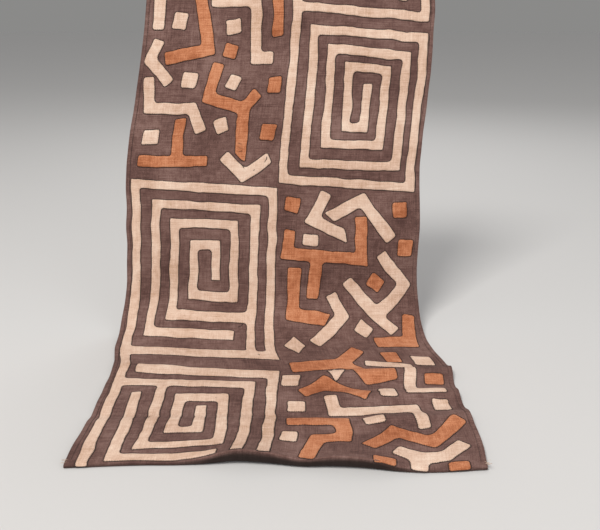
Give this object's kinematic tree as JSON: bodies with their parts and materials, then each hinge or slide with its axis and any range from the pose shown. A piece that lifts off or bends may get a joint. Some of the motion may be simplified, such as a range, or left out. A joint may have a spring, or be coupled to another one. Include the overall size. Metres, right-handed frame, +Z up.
{
  "type": "kuba raffia cloth",
  "caption": "Long dark raffia cloth with cream and orange pieces sewn on in spirals and angles, hung and swept forward onto a floor, its front end turned under.",
  "frame": {"origin": "middle of the cloth's top edge, where a rail, batten or row of clips would hold it", "axes": "+Z up, +X to the right of somebody who faces the cloth, -Y the way its face looks; the floor it lies on is at z = -0.85"},
  "size_m": [0.7376, 0.7798, 0.8502],
  "materials": {
    "ground_brown": "matt plain-woven raffia",
    "raffia_cream": "matt undyed raffia",
    "raffia_orange": "matt dyed raffia"
  },
  "bodies": {
    "root": {"band_middle": "raffia_cream", "cream_bar_top": "raffia_cream", "cream_chevron_left": "raffia_cream", "cream_chevron_right": "raffia_cream", "cream_elbow_middle": "raffia_cream", "cream_elbow_right": "raffia_cream", "cream_fork": "raffia_cream", "cream_hook_top": "raffia_cream", "cream_horn": "raffia_cream", "cream_square_01": "raffia_cream", "cream_square_02": "raffia_cream", "cream_square_04": "raffia_cream", "cream_square_05": "raffia_cream", "cream_square_07": "raffia_cream", "cream_square_08": "raffia_cream", "cream_square_12": "raffia_cream", "cream_square_15": "raffia_cream", "cream_square_16": "raffia_cream", "cream_square_18": "raffia_cream", "cream_square_19": "raffia_cream", "cream_square_21": "raffia_cream", "cream_square_22": "raffia_cream", "cream_square_23": "raffia_cream", "cream_square_24": "raffia_cream", "cream_square_25": "raffia_cream", "cream_square_26": "raffia_cream", "cream_step_middle": "raffia_cream", "cream_step_right": "raffia_cream", "cream_vee": "raffia_cream", "cream_zigzag": "raffia_cream", "elbow_front": "raffia_cream", "frame_left": "raffia_cream", "ground_cloth": "ground_brown", "meander_top": "raffia_cream", "orange_bar_top": "raffia_orange", "orange_branch": "raffia_orange", "orange_chevron": "raffia_orange", "orange_corner": "raffia_orange", "orange_cup": "raffia_orange", "orange_curl": "raffia_orange", "orange_elbow_middle": "raffia_orange", "orange_elbow_top": "raffia_orange", "orange_fork": "raffia_orange", "orange_square_03": "raffia_orange", "orange_square_06": "raffia_orange", "orange_square_09": "raffia_orange", "orange_square_10": "raffia_orange", "orange_square_11": "raffia_orange", "orange_square_13": "raffia_orange", "orange_square_14": "raffia_orange", "orange_square_17": "raffia_orange", "orange_square_20": "raffia_orange", "orange_square_27": "raffia_orange", "orange_square_28": "raffia_orange", "orange_tee": "raffia_orange", "orange_wave": "raffia_orange", "spiral_right": "raffia_cream"}
  },
  "joints": []
}
